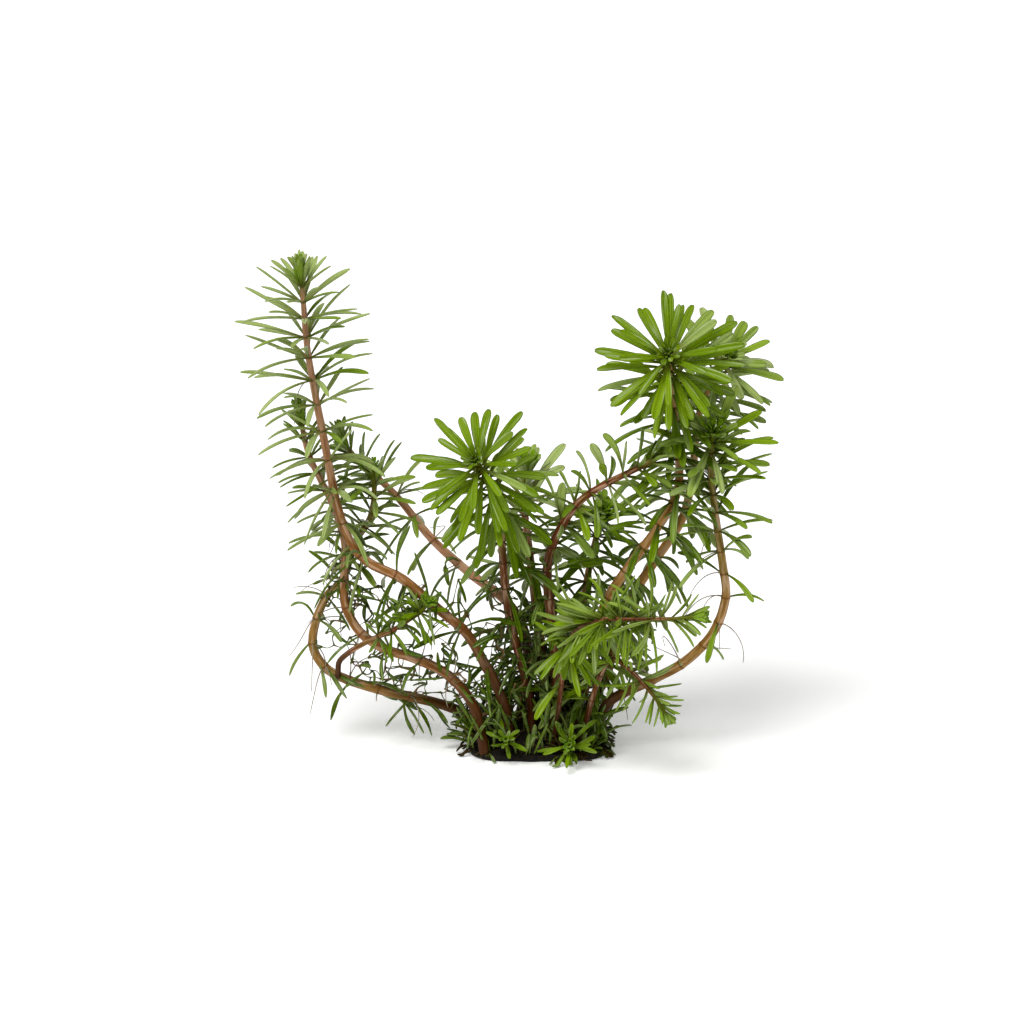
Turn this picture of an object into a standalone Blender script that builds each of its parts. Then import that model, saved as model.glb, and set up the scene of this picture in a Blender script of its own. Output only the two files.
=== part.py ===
"""A bunch of rotala, a stem plant for aquariums, standing on the flat cut of its root crown.

Each shoot is one solid: a six-sided stem with a whorl of leaves at every node. The stems' routes are
points chosen as they are seen from in front and a little above, in millimetres from the middle of the
cut: across to the right, up, and towards the viewer. The front of the plant faces -Y.
"""
import bisect
import itertools
import math
import random
from dataclasses import dataclass

import bmesh
import bpy
from mathutils import Quaternion, Vector, noise
from mathutils.bvhtree import BVHTree

MM = 0.001
VIEW_TILT = math.radians(18)
GAP = 0.35
FLOOR_GAP = 0.5
DOWN = Vector((0, 0, -1))

STEM_SIDES = 6
STEM_TAPER = 1.3
CURVE_STEPS = 6
NODE_HEIGHT = 0.8
NODE_SWELL = 1.12
NODE_GAP_GROWTH = 1.5
BARE_RING_GAP = 8.0
WHORL_TURN = math.radians(30)
THINNED_BELOW = 0.5
SPARSE_BELOW = 0.2
HANGS_BELOW = 0.9
HANGS_OVER = 0.45

CROWN_HALF_WIDTH = 17.5
CROWN_HALF_DEPTH = 12.5
CROWN_RIM_HEIGHT = 1.6
CROWN_DOME_HEIGHT = 3.2
CROWN_SQUARENESS = 4
CROWN_SEGMENTS = 28
CROWN_CUT_SHARE = 0.97
CROWN_WIDEST_AT = 0.6
CROWN_RINGS = (0.93, 0.72, 0.46, 0.22)
CROWN_BUMP = 0.5
CROWN_BUMPS_PER_MM = 0.35

BUD_LEAF_WIDTH = 1.0
BLADE_WIDEST = 0.62
BLADE_THICKNESS = 0.35
BLADE_CLEAR_FROM = 0.3
BLADE_CLEAR_TO = 1.02
TIP_NARROWING = 0.6
ANGLE_CHANGE = 8.0
HANG_CHANGE = 0.06
LENGTH_CHANGE = (0.88, 1.08)
SHORTER_LEAVES = (1.0, 0.8, 0.6, 0.45)
SIDE_STEPS = tuple(math.radians(angle) for angle in (0, 14, -14, 28, -28))
TILT_STEPS = tuple(math.radians(angle) for angle in (0, -15, 15))
SMOOTH_UP_TO = math.radians(40)

CROWN_COLOUR = (0.03, 0.02, 0.012)
STEM_COLOUR = (0.42, 0.19, 0.09)
THIN_STEM_COLOUR = (0.46, 0.19, 0.09)
THIN_STEM_BELOW = 0.9
STAR_LEAF_COLOUR = (0.13, 0.30, 0.02)
LEAF_COLOUR = (0.0975, 0.225, 0.02)


@dataclass
class Shoot:
    """One shoot: where it stands on the crown, its route, and how its leaves change along it."""

    name: str
    foot: tuple
    route: list
    foot_radius: float = 1.3
    tip_radius: float = 0.55
    bare: float = 14.0
    foot_gap: float = 10.0
    tip_gap: float = 3.2
    tip_leaf: float = 15.0
    foot_leaf: float = 12.0
    bud_leaf: float = 0.4
    bud_angle: float = 22.0
    open_angle: float = 78.0
    opens_over: int = 4
    leaf_width: float = 1.6
    old_width: float = 1.5
    droop: float = 1.2
    curved_whorls: int = 0


STAR = dict(tip_gap=1.9, tip_leaf=18.0, leaf_width=2.2, bud_angle=34.0, opens_over=3, bud_leaf=0.5,
            curved_whorls=3)

SHOOTS = [
    Shoot("shoot_tall_left", (-7, 6), [
        (-8, 9, 6), (-10.5, 15.5, 6), (-13.3, 20.8, 6), (-17.8, 28.5, 6), (-26.3, 35.8, 6),
        (-34, 42.3, 6), (-42.5, 46.5, 5), (-46.5, 50.8, 4), (-49.5, 58.3, 3), (-53.3, 77, 2),
        (-57.3, 99.5, 0), (-58.3, 112, 0), (-59, 121.5, 0)],
        foot_gap=13, tip_gap=3.4, tip_leaf=15.5, open_angle=72, opens_over=3, old_width=1.2, droop=1.0,
        curved_whorls=1),
    Shoot("shoot_low_left", (-13.5, 9.5), [
        (-14.3, 3.8, 9), (-16.5, 11, 8), (-22.8, 18.3, 7), (-31.5, 22.5, 5), (-37.5, 24.3, 4),
        (-44.3, 28.5, 2), (-48.3, 35.5, 0), (-48.5, 42.8, -1), (-48.3, 50.8, -1.5),
        (-50.8, 59.5, -3), (-57.3, 73.3, -5), (-58.8, 79.5, -6), (-60, 86.8, -6)],
        bare=18, tip_leaf=11, foot_leaf=13, leaf_width=1.4, old_width=0.9, droop=1.4),
    Shoot("shoot_outer_left", (-13.5, -4), [
        (-18.5, 8, -4), (-24.5, 10.5, -4), (-38.3, 13.8, -4), (-49.5, 17.3, -4), (-53.8, 20, -4),
        (-56.5, 24.5, -4), (-56.3, 29.8, -4), (-53, 38, -4.5), (-49.5, 41.5, -5), (-45.5, 52, -6),
        (-42, 57.8, -6), (-41, 66.3, -4), (-42, 71.5, -3)],
        bare=14, foot_gap=9, tip_leaf=12, foot_leaf=11, leaf_width=1.4, old_width=0.9, droop=1.4),
    Shoot("side_shoot_red", None, [
        (-50.3, 18.9, -2.2), (-50, 21.3, -1), (-47.3, 23.8, 2), (-41.8, 27, 7), (-36.3, 29.5, 9),
        (-32.3, 32, 10), (-28.8, 34.5, 11), (-27.3, 37, 12)],
        foot_radius=0.7, tip_radius=0.45, bare=20, foot_gap=6, tip_gap=2.2, tip_leaf=7.5,
        foot_leaf=5, leaf_width=1.2, old_width=0.9, droop=0.4),
    Shoot("shoot_back_left", (-5, -7), [
        (-3.5, 12, -8), (-2.8, 26.5, -9), (-7, 35.5, -10), (-16.8, 43.3, -11), (-26.5, 52, -12),
        (-36, 63.5, -14), (-48.3, 75.3, -15), (-50, 80.8, -15)],
        bare=9, foot_gap=13, tip_gap=3.6, tip_leaf=13, foot_leaf=14, old_width=1.2),
    Shoot("shoot_star_left", (-1.5, 2), [
        (-2, 12, 1.5), (-4.5, 22, 1), (-7.5, 34.5, 1), (-9, 50.8, 4), (-9, 56, 7), (-11, 64, 15.5),
        (-13.3, 68.3, 22), (-15.8, 72, 30)],
        foot_leaf=15, bare=7, **STAR),
    Shoot("shoot_behind_star", (1, -5), [
        (1.8, 12, -5.5), (0.5, 27, -6), (-2.5, 52, -6), (-3.3, 59.5, -6), (-2.5, 70.8, -4)],
        bare=8, tip_gap=2.8, tip_leaf=14, foot_leaf=14, opens_over=3),
    Shoot("shoot_leaning_right", (4, 0.5), [
        (4.5, 12, 1), (4.3, 24.5, 2), (2.3, 44.8, 5), (3.8, 51.3, 6.5), (10, 61.3, 8),
        (16, 65.5, 9), (26, 70.5, 10.5), (33.5, 74.5, 11)],
        bare=8, tip_gap=3.0, tip_leaf=14, foot_leaf=14),
    Shoot("shoot_star_right", (9, -2), [
        (10.5, 10.8, -1), (13.5, 20.3, 1), (16.8, 35.8, 2), (23.8, 46.8, 2), (29, 53.8, 1),
        (34.8, 64, -0.5), (35, 74.5, -1), (34, 83, 0), (33.3, 90, 3), (32.6, 95.3, 9), (31.8, 98.3, 17)],
        foot_leaf=15, bare=8, **STAR),
    Shoot("shoot_top_right", (11, -8), [
        (13, 10, -9), (17.3, 17.5, -10), (20.5, 32, -12), (29, 45.8, -14), (36.5, 57.5, -16),
        (38.8, 67.3, -18), (40.5, 83.3, -20), (43.5, 91.5, -19.5), (46, 96.3, -17), (48, 98.8, -12.5)],
        bare=9, foot_gap=10, tip_gap=2.2, tip_leaf=16, foot_leaf=14, leaf_width=2.1, bud_angle=34,
        opens_over=2, bud_leaf=0.5, curved_whorls=2),
    Shoot("shoot_outer_right", (14.5, 0), [
        (16, 7.8, 0.5), (18.3, 11.5, 1), (28, 16.5, 3), (37, 21.5, 4), (44, 29, 5), (47, 38, 5),
        (46.3, 44.8, 5), (44.3, 58, 5), (43, 69.3, 5), (43.2, 76, 6.5), (43.3, 79.5, 10)],
        bare=14, foot_gap=9.5, tip_gap=2.6, tip_leaf=15, foot_leaf=14, leaf_width=1.9, old_width=0.9,
        bud_angle=40, opens_over=2, curved_whorls=2),
    Shoot("shoot_low_right", (4, 8), [
        (5, 8, 10), (6.8, 22, 18), (9.8, 30, 25), (16.5, 32.5, 30), (22, 32.5, 32), (34, 32.8, 35),
        (40, 33.3, 36)],
        foot_radius=0.95, tip_radius=0.45, bare=8, foot_gap=7, tip_gap=2.6, tip_leaf=12, foot_leaf=15,
        leaf_width=1.5, old_width=1.7, droop=0.45),
    Shoot("shoot_foot_right", (11, 6), [
        (13, 10, 9), (15.5, 18, 14), (18.3, 22.3, 18), (22.8, 19.8, 23), (29.3, 12.5, 28),
        (32.5, 7.5, 29)],
        foot_radius=0.85, tip_radius=0.45, bare=8, foot_gap=5.5, tip_gap=2.2, tip_leaf=9, foot_leaf=11,
        leaf_width=1.2, old_width=1.3, droop=0.3),
    Shoot("sprout_front", (8, 9), [(8, 0.5, 13.5), (7.8, 0.8, 18.5)],
        foot_radius=0.8, tip_radius=0.5, bare=3, foot_gap=2, tip_gap=1.8, tip_leaf=9.5, foot_leaf=10,
        leaf_width=1.9, bud_angle=40, opens_over=2, droop=0, curved_whorls=2),
    Shoot("sprout_left", (-8, 9), [(-8, 1.6, 12), (-8, 2.2, 16)],
        foot_radius=0.8, tip_radius=0.5, bare=3, foot_gap=2, tip_gap=1.8, tip_leaf=6.5, foot_leaf=6.5,
        bud_angle=40, opens_over=2, droop=0),
    Shoot("sprout_shaded", (6, -8), [
        (7, 15, -9), (9, 28, -11), (11.5, 37, -12), (13, 45, -13), (15, 54, -13), (16.3, 59, -11)],
        foot_radius=1.1, bare=8, foot_gap=8.5, tip_gap=2.6, tip_leaf=13, foot_leaf=13, opens_over=3),
]


def crown_height(x, y):
    """Height of the crown's top over the cut, in millimetres."""
    edge = (abs(x) / CROWN_HALF_WIDTH) ** 2 + (abs(y) / CROWN_HALF_DEPTH) ** 2
    return CROWN_RIM_HEIGHT + CROWN_DOME_HEIGHT * max(0.0, 1 - edge)


def route_point(across, up, towards):
    """Place in space, in millimetres, of a point of a route."""
    height = (up + towards * math.sin(VIEW_TILT)) / math.cos(VIEW_TILT)
    return Vector((across, -towards, height))


def route_points(shoot):
    """A shoot's route from its foot, which stands a little clear of the crown."""
    points = [route_point(*point) for point in shoot.route]
    if shoot.foot is None:
        return points
    x, towards = shoot.foot
    height = crown_height(x, -towards) + CROWN_BUMP + GAP
    return [Vector((x, -towards, height)), *points]


def smooth_curve(points):
    """A centripetal Catmull-Rom curve through the points."""
    ends = [2 * points[0] - points[1], *points, 2 * points[-1] - points[-2]]
    curve = []
    for p0, p1, p2, p3 in zip(ends, ends[1:], ends[2:], ends[3:]):
        t1 = math.sqrt((p1 - p0).length)
        t2 = t1 + math.sqrt((p2 - p1).length)
        t3 = t2 + math.sqrt((p3 - p2).length)
        for step in range(CURVE_STEPS):
            t = t1 + (t2 - t1) * step / CURVE_STEPS
            a1 = p0.lerp(p1, t / t1)
            a2 = p1.lerp(p2, (t - t1) / (t2 - t1))
            a3 = p2.lerp(p3, (t - t2) / (t3 - t2))
            b1 = a1.lerp(a2, t / t2)
            b2 = a2.lerp(a3, (t - t1) / (t3 - t1))
            curve.append(b1.lerp(b2, (t - t1) / (t2 - t1)))
    return [*curve, points[-1]]


class Path:
    """A smooth curve with its direction and a side vector that turns no more than it has to."""

    def __init__(self, points):
        self.points = smooth_curve(points)
        steps = [b - a for a, b in zip(self.points, self.points[1:])]
        self.distances = [0.0, *itertools.accumulate(step.length for step in steps)]
        self.length = self.distances[-1]
        self.directions = [step.normalized() for step in steps]
        side = self.directions[0].orthogonal().normalized()
        self.sides = [side]
        for before, after in zip(self.directions, self.directions[1:]):
            side = before.rotation_difference(after) @ side
            self.sides.append(side)

    def at(self, distance):
        """Point, direction and side vector at a distance from the foot."""
        index = bisect.bisect_right(self.distances, distance) - 1
        index = min(max(index, 0), len(self.directions) - 1)
        point = self.points[index] + self.directions[index] * (distance - self.distances[index])
        return point, self.directions[index], self.sides[index]


@dataclass
class Whorl:
    """A node of a stem: index counts from the tip, and share is how far up the stem it sits."""

    index: int
    share: float
    distance: float
    turn: float

    @property
    def places(self):
        """Sides that bear a leaf: all near the tip, every second one below, every third at the foot."""
        step = 1 if self.share >= THINNED_BELOW else 2 if self.share >= SPARSE_BELOW else 3
        return range(0, STEM_SIDES, step)


def whorls_along(shoot, length):
    """The nodes of a stem from its tip down, with gaps that grow towards the foot."""
    whorls = []
    distance = length - shoot.tip_gap
    while distance > shoot.bare:
        share = distance / length
        whorls.append(Whorl(len(whorls), share, distance, len(whorls) * WHORL_TURN))
        distance -= shoot.foot_gap + (shoot.tip_gap - shoot.foot_gap) * share ** NODE_GAP_GROWTH
    return whorls


def leaf_size(shoot, whorl):
    """Length and width of a whorl's leaves: small in the bud, full below it, narrow when old."""
    grown = min(1.0, shoot.bud_leaf + (1 - shoot.bud_leaf) * whorl.index / shoot.opens_over)
    full = shoot.foot_leaf + (shoot.tip_leaf - shoot.foot_leaf) * whorl.share
    wide = shoot.old_width + (shoot.leaf_width - shoot.old_width) * whorl.share
    return full * grown, BUD_LEAF_WIDTH + (wide - BUD_LEAF_WIDTH) * grown


def sag(shoot, whorl):
    """How far the leaves of a whorl hang: not at all near the tip, and fully from halfway down."""
    share = min(1.0, max(0.0, (HANGS_BELOW - whorl.share) / HANGS_OVER))
    return shoot.droop * share * share * (3 - 2 * share)


def leaf_direction(shoot, whorl, axis, outward, change):
    """Where a leaf points: steep in the bud, spread below it, hanging on the old stem."""
    opened = min(1.0, whorl.index / shoot.opens_over)
    angle = shoot.bud_angle + (shoot.open_angle - shoot.bud_angle) * opened
    angle = math.radians(angle + change.uniform(-ANGLE_CHANGE, ANGLE_CHANGE))
    hang = (sag(shoot, whorl) + change.uniform(-HANG_CHANGE, HANG_CHANGE)) * opened
    return (outward * math.sin(angle) + axis * math.cos(angle) + DOWN * hang).normalized()


@dataclass
class Blade:
    """A leaf's outline in space: its root, direction, side vector, length and width."""

    root: Vector
    root_width: float
    direction: Vector
    side: Vector
    length: float
    width: float

    def turned(self, sideways, tilt, shorten):
        """The same blade, swung sideways, tilted and shortened."""
        normal = self.direction.cross(self.side)
        spin = Quaternion(normal, sideways) @ Quaternion(self.side, tilt)
        return Blade(self.root, self.root_width, spin @ self.direction, spin @ self.side,
                     self.length * shorten, self.width)

    def corners(self, start, end, grow):
        """Eight corners of the blade's space between two shares of its length."""
        normal = self.direction.cross(self.side).normalized()
        corners = []
        for share in (start, end):
            middle = self.root + self.direction * self.length * share
            wide = self.root_width + (self.width - self.root_width) * min(1.0, share / BLADE_WIDEST)
            thick = max(BLADE_THICKNESS, NODE_HEIGHT * (1 - share)) / 2 + grow
            wide = wide / 2 + grow
            for across, over in ((-1, -1), (1, -1), (1, 1), (-1, 1)):
                corners.append(middle + self.side * wide * across + normal * thick * over)
        return corners


BOX_FACES = ((0, 3, 2, 1), (4, 5, 6, 7), (0, 1, 5, 4), (1, 2, 6, 5), (2, 3, 7, 6), (3, 0, 4, 7))


class Taken:
    """The space that stems and leaves fill so far, so that no leaf grows into another."""

    def __init__(self):
        self.solids = []

    def add(self, owner, corners, faces):
        """Takes the space of a solid that belongs to a shoot and a whorl."""
        self.solids.append((owner, *box_of(corners), BVHTree.FromPolygons(corners, faces)))

    def is_free(self, owner, blade):
        """Whether a blade keeps its gap to all that stands, and to the surface below."""
        whole = blade.corners(0.0, BLADE_CLEAR_TO, GAP)
        outer = blade.corners(BLADE_CLEAR_FROM, BLADE_CLEAR_TO, GAP)
        if min(corner.z for corner in outer) < FLOOR_GAP:
            return False
        low, high = box_of(whole)
        trees = {}
        for other, other_low, other_high, tree in self.solids:
            if other == owner or apart(low, high, other_low, other_high):
                continue
            own = other[0] == owner[0]
            if own not in trees:
                trees[own] = BVHTree.FromPolygons(outer if own else whole, BOX_FACES)
            if tree.overlap(trees[own]):
                return False
        return True


def box_of(points):
    """Lowest and highest corner around points."""
    low = Vector((min(point[i] for point in points) for i in range(3)))
    high = Vector((max(point[i] for point in points) for i in range(3)))
    return low, high


def apart(low, high, other_low, other_high):
    """Whether two boxes are clear of each other."""
    return any(low[i] > other_high[i] or high[i] < other_low[i] for i in range(3))


class Stem:
    """A shoot's stem as rings of a mesh in the making, with its nodes' rings known."""

    def __init__(self, shoot):
        self.shoot = shoot
        self.path = Path(route_points(shoot))
        self.whorls = whorls_along(shoot, self.path.length)
        self.mesh = bmesh.new()
        self.sockets = {}
        self.leaf_faces = []
        self.draw_stem()

    def radius(self, distance):
        """Radius of the stem at a distance from its foot."""
        tapered = (distance / self.path.length) ** STEM_TAPER
        return self.shoot.foot_radius + (self.shoot.tip_radius - self.shoot.foot_radius) * tapered

    def ring(self, distance, turn, swell=1.0):
        """A ring of vertices round the path."""
        point, axis, side = self.path.at(distance)
        radius = self.radius(distance) * swell
        ring = []
        for index in range(STEM_SIDES):
            spin = Quaternion(axis, turn + index * math.tau / STEM_SIDES)
            ring.append(self.mesh.verts.new(point + (spin @ side) * radius))
        return ring

    def join_rings(self, below, above):
        """Faces between two rings, one for each side of the stem."""
        faces = []
        for index in range(STEM_SIDES):
            after = (index + 1) % STEM_SIDES
            faces.append(self.mesh.faces.new((below[index], below[after], above[after], above[index])))
        return faces

    def draw_stem(self):
        """The bare foot, a pair of rings at each node, and the pointed bud."""
        turn = self.whorls[-1].turn
        first = self.whorls[-1].distance
        count = max(1, round(first / BARE_RING_GAP))
        ring = self.ring(0, turn)
        self.mesh.faces.new(ring[::-1])
        for step in range(1, count):
            after = self.ring(first * step / count, turn)
            self.join_rings(ring, after)
            ring = after
        for whorl in reversed(self.whorls):
            lower = self.ring(whorl.distance - NODE_HEIGHT / 2, whorl.turn, NODE_SWELL)
            upper = self.ring(whorl.distance + NODE_HEIGHT / 2, whorl.turn, NODE_SWELL)
            self.join_rings(ring, lower)
            self.sockets[whorl.index] = self.join_rings(lower, upper)
            ring = upper
        apex = self.mesh.verts.new(self.path.points[-1])
        for index in range(STEM_SIDES):
            self.mesh.faces.new((ring[index], ring[(index + 1) % STEM_SIDES], apex))

    def take_space(self, taken):
        """Marks the stem's own space as taken."""
        self.mesh.verts.index_update()
        corners = [vert.co.copy() for vert in self.mesh.verts]
        faces = [[vert.index for vert in face.verts] for face in self.mesh.faces]
        taken.add((self.shoot.name, None), corners, faces)

    def grow_leaf(self, whorl, place, taken):
        """Grows the leaf at one side of a node, in the first posture that is clear of the rest."""
        socket = self.sockets[whorl.index][place]
        _, axis, _ = self.path.at(whorl.distance)
        root = socket.calc_center_median()
        below = socket.verts[1].co - socket.verts[0].co
        side = below.normalized()
        outward = side.cross(axis).normalized()
        change = random.Random(f"{self.shoot.name} {whorl.index} {place}")
        length, width = leaf_size(self.shoot, whorl)
        direction = leaf_direction(self.shoot, whorl, axis, outward, change)
        side = (side - direction * side.dot(direction)).normalized()
        length *= change.uniform(*LENGTH_CHANGE)
        wanted = Blade(root, below.length, direction, side, length, width)
        owner = (self.shoot.name, whorl.index)
        for shorten, sideways, tilt in itertools.product(SHORTER_LEAVES, SIDE_STEPS, TILT_STEPS):
            blade = wanted.turned(sideways, tilt, shorten)
            if taken.is_free(owner, blade):
                taken.add(owner, blade.corners(0.0, 1.0, 0.0), BOX_FACES)
                self.draw_leaf(socket, blade, whorl.index < self.shoot.curved_whorls)
                return

    def draw_leaf(self, socket, blade, curved):
        """Replaces a side of the node with a flat blade, with a broad middle where it is curved."""
        rim = list(socket.verts)
        self.mesh.faces.remove(socket)
        tip_width = blade.width
        if curved:
            middle = self.blade_ring(blade)
            for index in range(4):
                after = (index + 1) % 4
                self.leaf_face(rim[index], rim[after], middle[after], middle[index])
            rim = middle
            tip_width = blade.width * TIP_NARROWING
        tip = blade.root + blade.direction * blade.length
        left = self.mesh.verts.new(tip - blade.side * tip_width / 2)
        right = self.mesh.verts.new(tip + blade.side * tip_width / 2)
        self.leaf_face(rim[0], rim[1], right, left)
        self.leaf_face(rim[3], left, right, rim[2])
        self.leaf_face(rim[0], left, rim[3])
        self.leaf_face(rim[1], rim[2], right)

    def blade_ring(self, blade):
        """The four corners of a blade where it is broadest."""
        corners = blade.corners(0.0, BLADE_WIDEST, 0.0)[4:]
        return [self.mesh.verts.new(corner) for corner in corners]

    def leaf_face(self, *verts):
        """A face of a leaf, kept so that it takes the leaf's material."""
        self.leaf_faces.append(self.mesh.faces.new(verts))

    def finish(self):
        """Turns the stem and its leaves into an object."""
        for face in self.leaf_faces:
            face.material_index = 1
        return new_object(self.shoot.name, self.mesh, stem_material(self.shoot), leaf_material(self.shoot))


def new_material(name, colour, roughness):
    """A plain material for one piece."""
    material = bpy.data.materials.new(name)
    material.use_nodes = True
    surface = material.node_tree.nodes["Principled BSDF"]
    surface.inputs["Base Color"].default_value = (*colour, 1)
    surface.inputs["Roughness"].default_value = roughness
    surface.inputs["Metallic"].default_value = 0.0
    return material


def stem_material(shoot):
    """Pinkish brown, redder on thin stems."""
    colour = STEM_COLOUR if shoot.foot_radius > THIN_STEM_BELOW else THIN_STEM_COLOUR
    return new_material(f"{shoot.name}_stem", colour, 0.5)


def leaf_material(shoot):
    """Leaf green, brighter on shoots with a star of leaves."""
    colour = STAR_LEAF_COLOUR if shoot.curved_whorls else LEAF_COLOUR
    return new_material(f"{shoot.name}_leaf", colour, 0.4)


def new_object(name, mesh, *materials):
    """An object from a mesh drawn in millimetres."""
    for vert in mesh.verts:
        vert.co *= MM
    data = bpy.data.meshes.new(name)
    mesh.to_mesh(data)
    mesh.free()
    data.shade_smooth()
    data.set_sharp_from_angle(angle=SMOOTH_UP_TO)
    for material in materials:
        data.materials.append(material)
    piece = bpy.data.objects.new(name, data)
    bpy.context.scene.collection.objects.link(piece)
    return piece


def crown_ring(mesh, share, height):
    """A ring of the crown's rounded outline; with no height given it follows the bumpy top."""
    ring = []
    for index in range(CROWN_SEGMENTS):
        angle = math.tau * index / CROWN_SEGMENTS
        cosine, sine = math.cos(angle), math.sin(angle)
        reach = (abs(cosine) ** CROWN_SQUARENESS + abs(sine) ** CROWN_SQUARENESS) ** (-1 / CROWN_SQUARENESS)
        x = CROWN_HALF_WIDTH * share * reach * cosine
        y = CROWN_HALF_DEPTH * share * reach * sine
        bump = noise.noise(Vector((x, y, 0)) * CROWN_BUMPS_PER_MM) * CROWN_BUMP
        z = crown_height(x, y) + bump if height is None else height
        ring.append(mesh.verts.new((x, y, z)))
    return ring


def make_root_crown(taken):
    """The matted mass of stem bases and roots: a flat cut below and a low, bumpy mound above."""
    mesh = bmesh.new()
    widest = CROWN_RIM_HEIGHT * CROWN_WIDEST_AT
    rings = [crown_ring(mesh, CROWN_CUT_SHARE, 0.0), crown_ring(mesh, 1.0, widest)]
    rings += [crown_ring(mesh, share, None) for share in CROWN_RINGS]
    mesh.faces.new(rings[0][::-1])
    for below, above in zip(rings, rings[1:]):
        for index in range(CROWN_SEGMENTS):
            after = (index + 1) % CROWN_SEGMENTS
            mesh.faces.new((below[index], below[after], above[after], above[index]))
    centre = mesh.verts.new((0, 0, crown_height(0, 0)))
    for index in range(CROWN_SEGMENTS):
        mesh.faces.new((rings[-1][index], rings[-1][(index + 1) % CROWN_SEGMENTS], centre))
    mesh.verts.index_update()
    corners = [vert.co.copy() for vert in mesh.verts]
    faces = [[vert.index for vert in face.verts] for face in mesh.faces]
    taken.add(("root_crown", None), corners, faces)
    new_object("root_crown", mesh, new_material("root_crown", CROWN_COLOUR, 0.8))


def main():
    """Builds the crown, then every stem, then the leaves from the tips down."""
    for piece in list(bpy.data.objects):
        bpy.data.objects.remove(piece, do_unlink=True)
    taken = Taken()
    make_root_crown(taken)
    stems = [Stem(shoot) for shoot in SHOOTS]
    for stem in stems:
        stem.take_space(taken)
    for level in range(max(len(stem.whorls) for stem in stems)):
        for stem in stems:
            if level < len(stem.whorls):
                whorl = stem.whorls[level]
                for place in whorl.places:
                    stem.grow_leaf(whorl, place, taken)
    for stem in stems:
        stem.finish()


main()
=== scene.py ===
"""The looks of a bunch of rotala: curved leaves in whorls, jointed stems, roots and a dark root crown.

A route's points are as seen from in front and a little above, in millimetres from the middle of the cut:
across to the right, up, and towards the viewer, which is -Y.
"""
import bisect
import itertools
import random
from dataclasses import dataclass, replace
from math import cos, exp, inf, pi, radians, sin, sqrt, tau

import bpy
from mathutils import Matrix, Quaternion, Vector, noise


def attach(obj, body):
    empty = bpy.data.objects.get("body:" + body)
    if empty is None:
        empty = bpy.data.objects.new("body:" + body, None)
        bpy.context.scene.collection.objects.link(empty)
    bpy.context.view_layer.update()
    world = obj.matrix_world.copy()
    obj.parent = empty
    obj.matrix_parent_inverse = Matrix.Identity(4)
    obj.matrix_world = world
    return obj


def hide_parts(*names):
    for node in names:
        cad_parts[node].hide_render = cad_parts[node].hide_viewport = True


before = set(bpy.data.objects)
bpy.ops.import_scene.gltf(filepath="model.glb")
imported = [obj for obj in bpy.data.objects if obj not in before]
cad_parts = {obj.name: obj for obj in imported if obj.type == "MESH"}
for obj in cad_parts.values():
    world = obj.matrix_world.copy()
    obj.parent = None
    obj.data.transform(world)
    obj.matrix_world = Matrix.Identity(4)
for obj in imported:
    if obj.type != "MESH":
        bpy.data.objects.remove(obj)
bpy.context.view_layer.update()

MM = 0.001
UP = Vector((0, 0, 1))
DOWN = -UP
BODY = "root"

VIEW_TILT = radians(18)
TO_VIEWER = Vector((0, -cos(VIEW_TILT), sin(VIEW_TILT)))
VIEW_DISTANCE = 2000
PHOTO_SIZE = 1024
PIXELS_PER_MM = 4
CUT_PIXEL = (538, 748)
SENSOR = 36

STAR_WHORL = 9
STAR_WHORLS = 5
HANGS_OVER = 0.45

STEM_SIDES = 14
RING_GAP = 1.2
NODE_RINGS = (-0.8, -0.45, -0.18, 0, 0.18, 0.45, 0.8)
NODE_REACH = 0.4
NODE_SWELL = 0.08
STEM_TAPER = 2.3
STEM_WOBBLE = 0.06
STEM_END = 0.3
RINGS_APART = 0.12
GAP_GROWTH = 1.5
FLOOR_GAP = 0.3
SIDE_SHOOT_DEPTH = 2.0

LEAF_STATIONS = (0, 0.05, 0.13, 0.25, 0.4, 0.55, 0.68, 0.79, 0.875, 0.935, 0.972, 0.993)
LEAF_TOP = (-1, -0.66, -0.3, 0, 0.3, 0.66, 1)
LEAF_UNDER = (0.55, 0, -0.55)
LEAF_THICKNESS = 0.3
LEAF_FOLD = 0.32
LEAF_GROOVE = 0.3
GROOVE_REACH = 0.3
LEAF_INSET = 0.75
HANG_ENDS = (0.6, 1.4)
# Leaf paleness is painted sheen and painted glow of light through thin leaves: it rises up a shoot over
# this span of its length, and a share of leaves gets an odd extra sheen.
PALE_SHEEN_SPAN = (0.25, 0.65)
SHEENED_LEAVES = 0.1
ODD_SHEEN = 0.45
BALL_SIZE = 0.3
TURN_COST = 0.15
STAR_SPREAD = 7
WHORL_SPREAD = (26, 8)
BUD_LEAF_WIDTH = 1.1
BUD_ROW_LEAVES = 6
LOOSE_FROM = 4.0
FACING_KEPT = 0.15
ROOTLET_STEPS = 6
ROOTLET_RADII = (0.17, 0.08)
ROOTLET_LENGTHS = (7, 17)
ROOTLET_FALLS = (0.1, 0.35)

NET_TRIES = 5000
NET_SPAN = 26.0
NET_SPACING = 2.0
NET_LINKS = 3
NET_REACH = 7.0
NET_JITTER = 0.7
NET_LEAVES = 0.2
STRAND_RADII = (0.15, 0.42)
STRAND_WAIST = 0.5

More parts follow.
